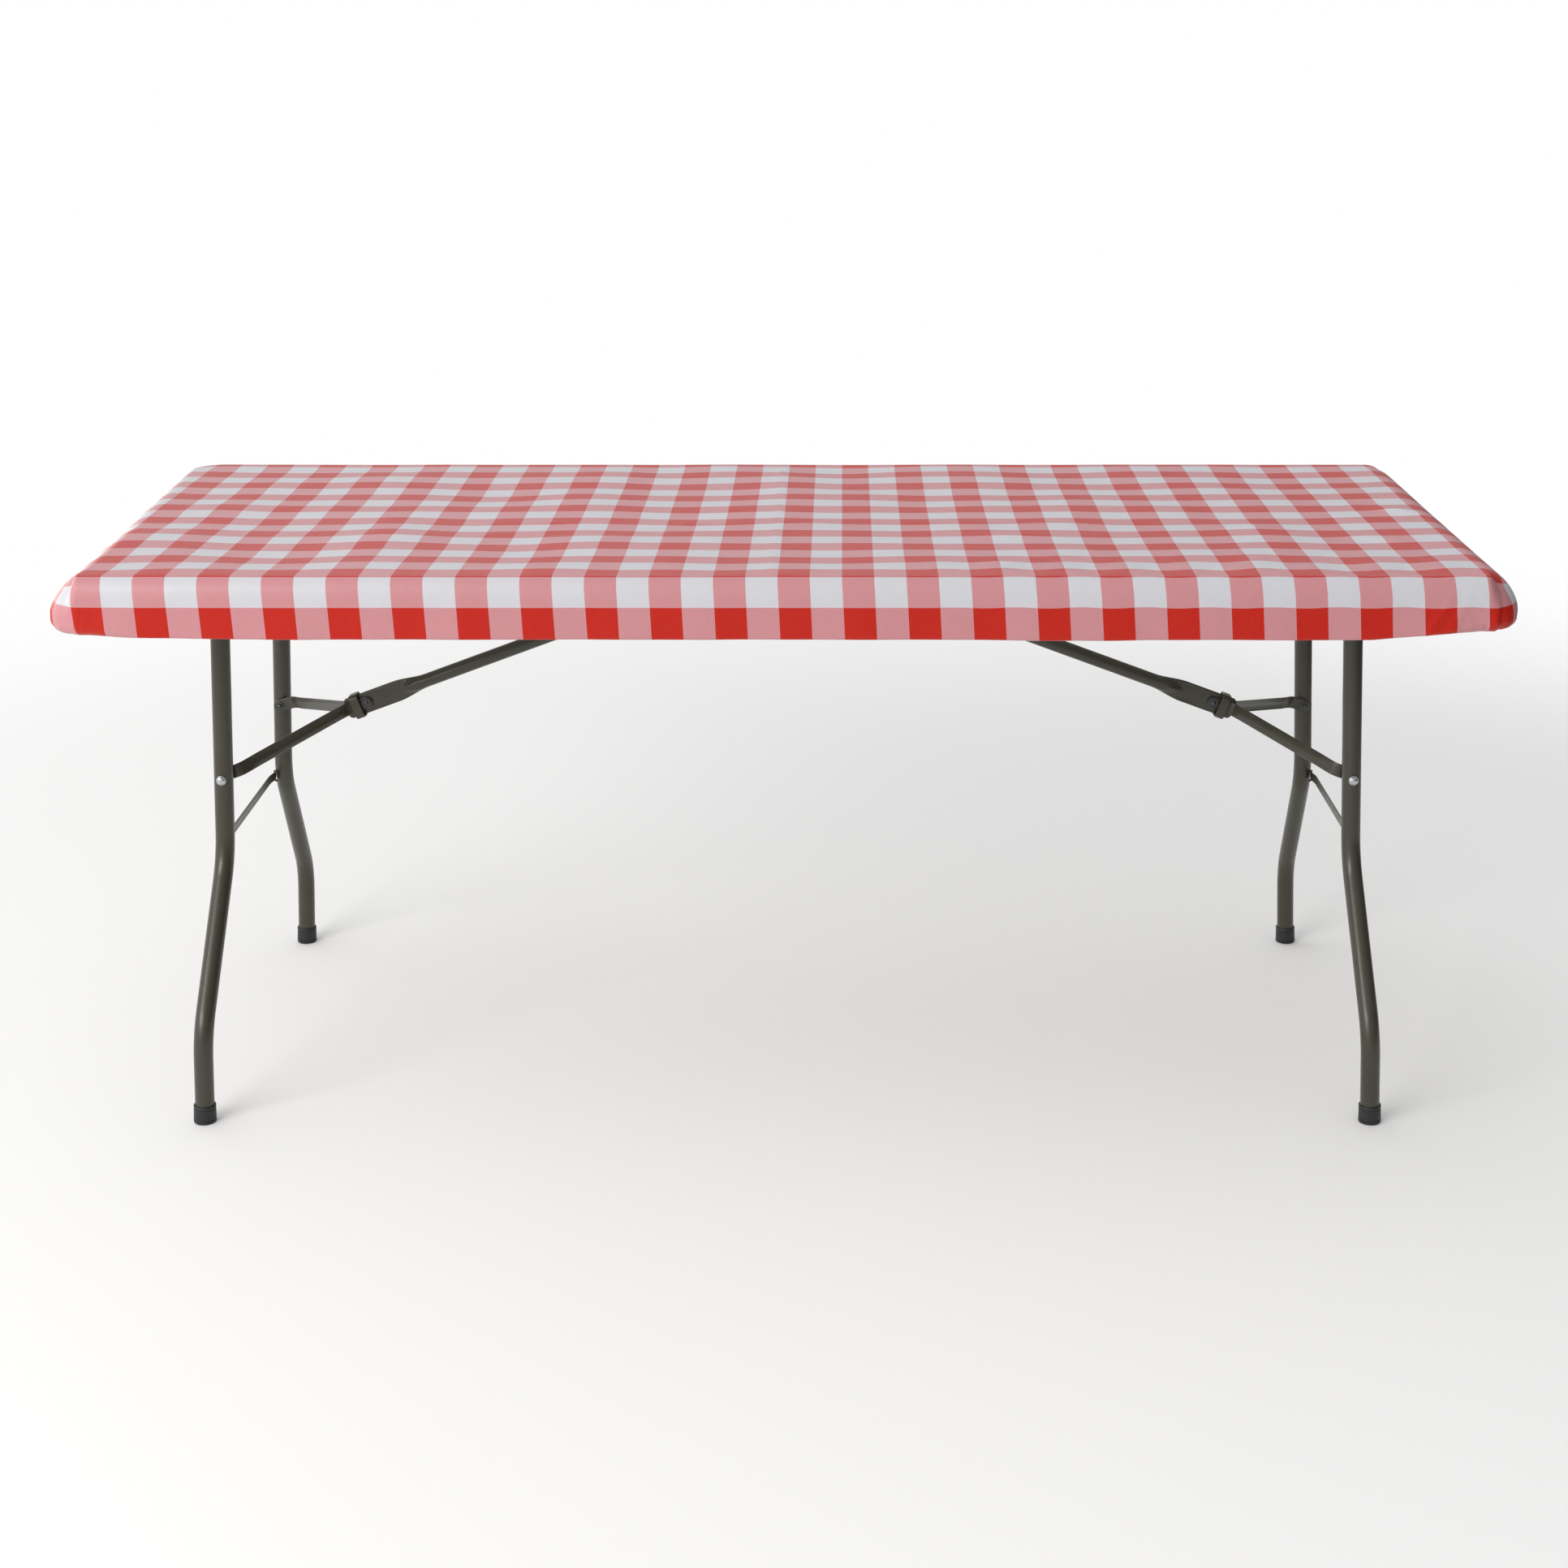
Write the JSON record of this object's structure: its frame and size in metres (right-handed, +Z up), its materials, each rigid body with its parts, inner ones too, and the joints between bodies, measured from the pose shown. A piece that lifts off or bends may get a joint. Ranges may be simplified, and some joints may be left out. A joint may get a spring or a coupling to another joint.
{
  "type": "tablecloth on a folding table",
  "caption": "Fitted elastic-edged checked tablecloth on a long folding banquet table, with wishbone leg frames, folding braces and sliding lock rings.",
  "frame": {"origin": "on the floor, under the middle of the table top", "axes": "+X along the length, +Y across the width towards the back, +Z up"},
  "size_m": [1.829, 0.756, 0.76],
  "materials": {
    "vinyl_cloth": "semi-gloss vinyl, red and white check, flannel backed",
    "elastic": "matt knitted elastic",
    "moulded_plastic": "light pebbled polyethylene",
    "powder_coated_steel": "dark bronze powder coat, semi-gloss",
    "zinc_steel": "bright zinc plate",
    "rubber": "matt black rubber"
  },
  "bodies": {
    "table": {"centre_crossmember": "powder_coated_steel", "elastic_hem": "elastic", "left_axle_strap_back": "zinc_steel", "left_axle_strap_front": "zinc_steel", "left_brace_bracket": "powder_coated_steel", "left_brace_pin": "zinc_steel", "left_strap_screw_back_inner": "zinc_steel", "left_strap_screw_back_outer": "zinc_steel", "left_strap_screw_front_inner": "zinc_steel", "left_strap_screw_front_outer": "zinc_steel", "rail_screw_back_left": "zinc_steel", "rail_screw_back_middle": "zinc_steel", "rail_screw_back_right": "zinc_steel", "rail_screw_front_left": "zinc_steel", "rail_screw_front_middle": "zinc_steel", "rail_screw_front_right": "zinc_steel", "right_axle_strap_back": "zinc_steel", "right_axle_strap_front": "zinc_steel", "right_brace_bracket": "powder_coated_steel", "right_brace_pin": "zinc_steel", "right_strap_screw_back_inner": "zinc_steel", "right_strap_screw_back_outer": "zinc_steel", "right_strap_screw_front_inner": "zinc_steel", "right_strap_screw_front_outer": "zinc_steel", "side_rail_back": "powder_coated_steel", "side_rail_front": "powder_coated_steel", "tablecloth": "vinyl_cloth", "tabletop_panel": "moulded_plastic"},
    "left_leg": {"left_foot_cap_back": "rubber", "left_foot_cap_front": "rubber", "left_leg_axle": "powder_coated_steel", "left_leg_crossbar": "powder_coated_steel", "left_leg_rivet_back": "zinc_steel", "left_leg_rivet_front": "zinc_steel", "left_leg_tube_back": "powder_coated_steel", "left_leg_tube_front": "powder_coated_steel"},
    "left_brace_upper": {"left_knee_rivet": "zinc_steel", "left_upper_brace": "powder_coated_steel"},
    "left_brace_lower": {"left_arm_rivet_back": "zinc_steel", "left_arm_rivet_front": "zinc_steel", "left_brace_arm_back": "powder_coated_steel", "left_brace_arm_front": "powder_coated_steel"},
    "left_ring": {"left_lock_ring": "powder_coated_steel"},
    "right_leg": {"right_foot_cap_back": "rubber", "right_foot_cap_front": "rubber", "right_leg_axle": "powder_coated_steel", "right_leg_crossbar": "powder_coated_steel", "right_leg_rivet_back": "zinc_steel", "right_leg_rivet_front": "zinc_steel", "right_leg_tube_back": "powder_coated_steel", "right_leg_tube_front": "powder_coated_steel"},
    "right_brace_upper": {"right_knee_rivet": "zinc_steel", "right_upper_brace": "powder_coated_steel"},
    "right_brace_lower": {"right_arm_rivet_back": "zinc_steel", "right_arm_rivet_front": "zinc_steel", "right_brace_arm_back": "powder_coated_steel", "right_brace_arm_front": "powder_coated_steel"},
    "right_ring": {"right_lock_ring": "powder_coated_steel"}
  },
  "joints": [
    {"name": "left_leg_fold", "type": "hinge", "parent": "table", "child": "left_leg", "pos_m": [-0.743, 0, 0.718], "axis": [0, -1, 0], "range_deg": [0, 91.9]},
    {"name": "left_brace_swing", "type": "hinge", "parent": "table", "child": "left_brace_upper", "pos_m": [-0.03, 0, 0.702], "axis": [0, -1, 0], "range_deg": [-21.95, 0]},
    {"name": "left_knee", "type": "hinge", "parent": "left_brace_upper", "child": "left_brace_lower", "pos_m": [-0.59496, 0, 0.49108], "axis": [0, -1, 0], "range_deg": [0, 182.2]},
    {"name": "left_ring_slide", "type": "slide", "parent": "left_brace_upper", "child": "left_ring", "axis": [0.9368, 0, 0.3497], "range_m": [0, 0.204]},
    {"name": "right_leg_fold", "type": "hinge", "parent": "table", "child": "right_leg", "pos_m": [0.743, 0, 0.718], "axis": [0, 1, 0], "range_deg": [0, 91.9]},
    {"name": "right_brace_swing", "type": "hinge", "parent": "table", "child": "right_brace_upper", "pos_m": [0.03, 0, 0.702], "axis": [0, 1, 0], "range_deg": [-21.95, 0]},
    {"name": "right_knee", "type": "hinge", "parent": "right_brace_upper", "child": "right_brace_lower", "pos_m": [0.59496, 0, 0.49108], "axis": [0, 1, 0], "range_deg": [0, 182.2]},
    {"name": "right_ring_slide", "type": "slide", "parent": "right_brace_upper", "child": "right_ring", "axis": [-0.9368, 0, 0.3497], "range_m": [0, 0.204]}
  ],
  "couplings": [
    {"joint": "left_brace_swing", "follows": "left_leg_fold", "ratio": -0.23877},
    {"joint": "left_knee", "follows": "left_leg_fold", "ratio": 1.9821},
    {"joint": "left_ring_slide", "follows": "left_leg_fold", "m_per_rad": 0.127},
    {"joint": "right_brace_swing", "follows": "right_leg_fold", "ratio": -0.23877},
    {"joint": "right_knee", "follows": "right_leg_fold", "ratio": 1.9821},
    {"joint": "right_ring_slide", "follows": "right_leg_fold", "m_per_rad": 0.127}
  ]
}
